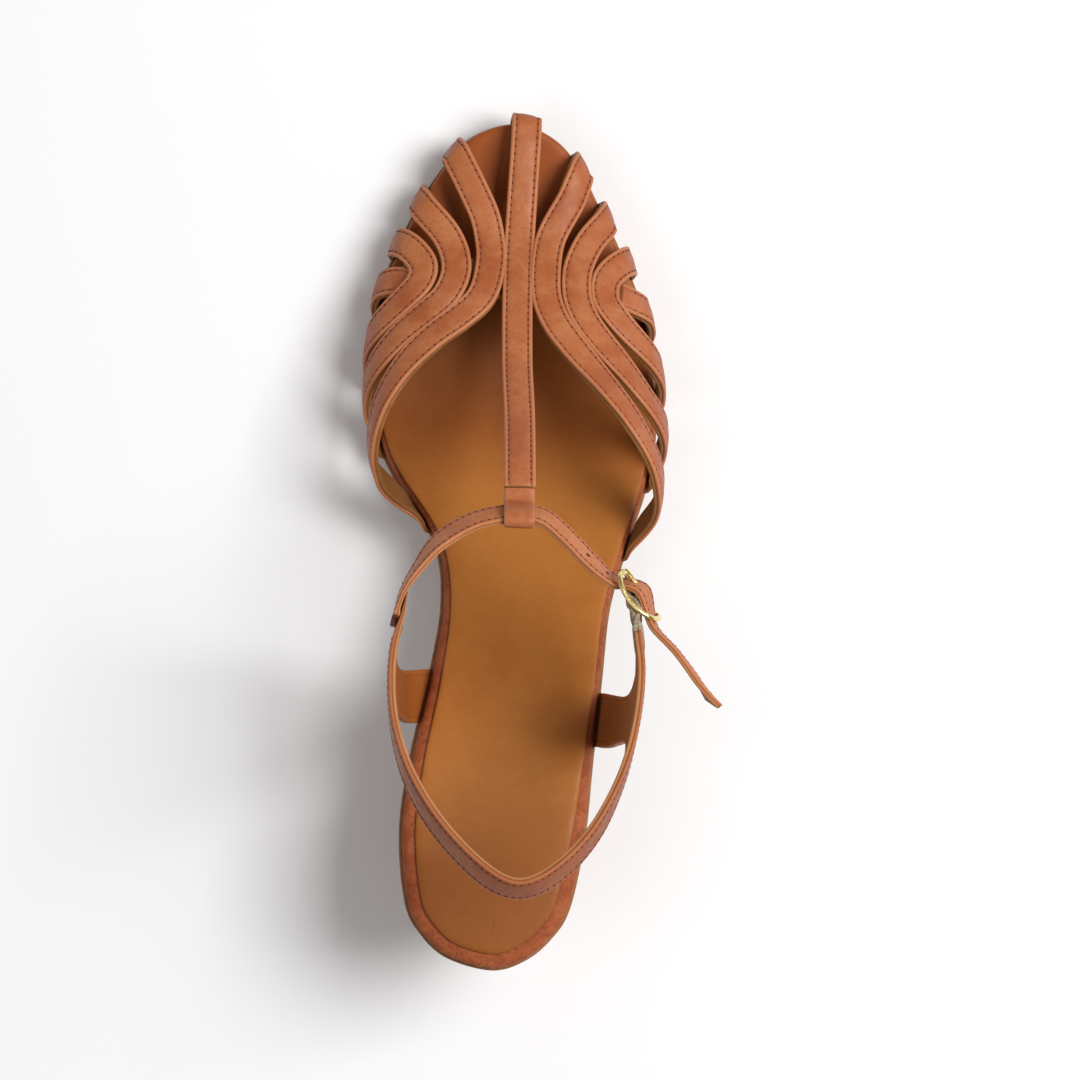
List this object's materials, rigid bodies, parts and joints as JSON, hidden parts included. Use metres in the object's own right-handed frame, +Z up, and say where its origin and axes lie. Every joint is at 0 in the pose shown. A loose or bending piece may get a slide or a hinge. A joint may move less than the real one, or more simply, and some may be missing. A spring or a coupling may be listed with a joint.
{
  "type": "t strap sandal",
  "caption": "Right leather t strap sandal with fan straps over the forefoot, buckled ankle strap, back strap on side quarters and a mid block heel.",
  "frame": {"origin": "middle of the heel's tread, on the floor", "axes": "+Y to the toe, +X to the outer side of the foot, +Z up"},
  "size_m": [0.1048, 0.2498, 0.1177],
  "materials": {
    "outsole": "matt",
    "rim_leather": "matt grain",
    "sock_leather": "smooth satin",
    "heel_leather": "smooth satin",
    "lift_rubber": "matt",
    "strap_leather": "smooth satin",
    "elastic": "woven",
    "buckle_metal": "polished pale gold"
  },
  "bodies": {
    "root": {"outsole": "outsole", "footbed": "rim_leather", "sock_lining": "sock_leather", "heel_block": "heel_leather", "heel_top_lift": "lift_rubber", "upper_front": "strap_leather", "upper_back": "strap_leather", "ankle_strap": "strap_leather", "elastic_loop": "elastic", "buckle_frame": "buckle_metal", "buckle_prong": "buckle_metal"}
  },
  "joints": []
}
